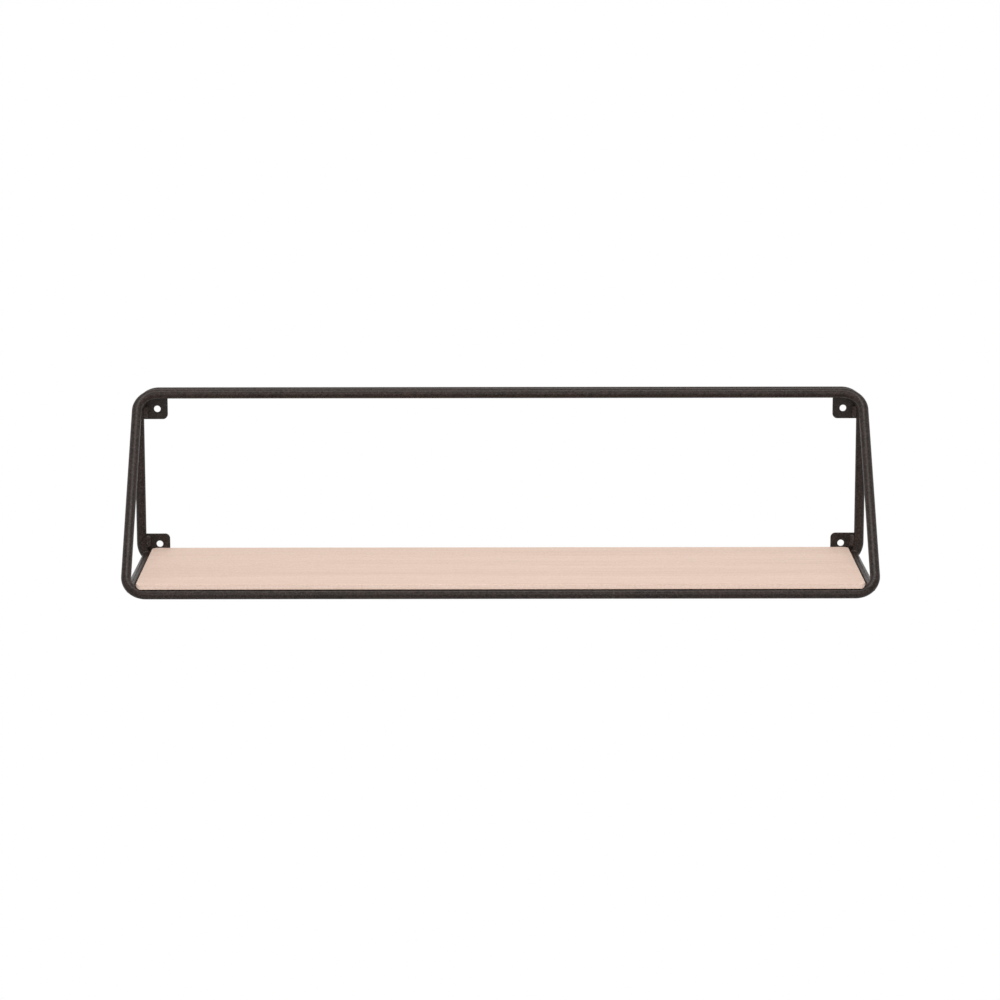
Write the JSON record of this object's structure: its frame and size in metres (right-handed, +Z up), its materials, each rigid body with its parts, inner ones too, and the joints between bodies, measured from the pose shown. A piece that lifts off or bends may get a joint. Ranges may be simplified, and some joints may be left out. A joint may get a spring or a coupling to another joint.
{
  "type": "wall shelf",
  "caption": "Wall shelf: an upright and a leaning loop of round bar meet at the top and carry a thin pale wooden board; corner tabs with holes fix it to the wall.",
  "frame": {"origin": "middle of the four wall holes, on the wall plane that the backs of the tabs lie on", "axes": "+X along the shelf to the right as seen from the room, +Y into the wall, +Z up; the shelf stands out towards -Y"},
  "size_m": [0.6, 0.15, 0.15],
  "materials": {
    "frame": "fine textured satin powder coat",
    "weld": "powder coat over weld metal",
    "veneer": "pale straight-grained veneer, matt",
    "core": "bare cut edge"
  },
  "bodies": {
    "root": {"rear_loop": "frame", "rear_loop_weld": "weld", "front_loop": "frame", "front_loop_weld": "weld", "side_rod_left": "frame", "side_rod_right": "frame", "tab_top_left": "frame", "tab_top_right": "frame", "tab_bottom_left": "frame", "tab_bottom_right": "frame", "top_weld_left": "weld", "top_weld_middle": "weld", "top_weld_right": "weld", "rod_weld_rear_left": "weld", "rod_weld_rear_right": "weld", "rod_weld_front_left": "weld", "rod_weld_front_right": "weld", "tab_weld_top_left": "weld", "tab_weld_top_right": "weld", "tab_weld_bottom_left": "weld", "tab_weld_bottom_right": "weld", "board_face_veneer": "veneer", "board_back_veneer": "veneer", "board_core": "core"}
  },
  "joints": []
}
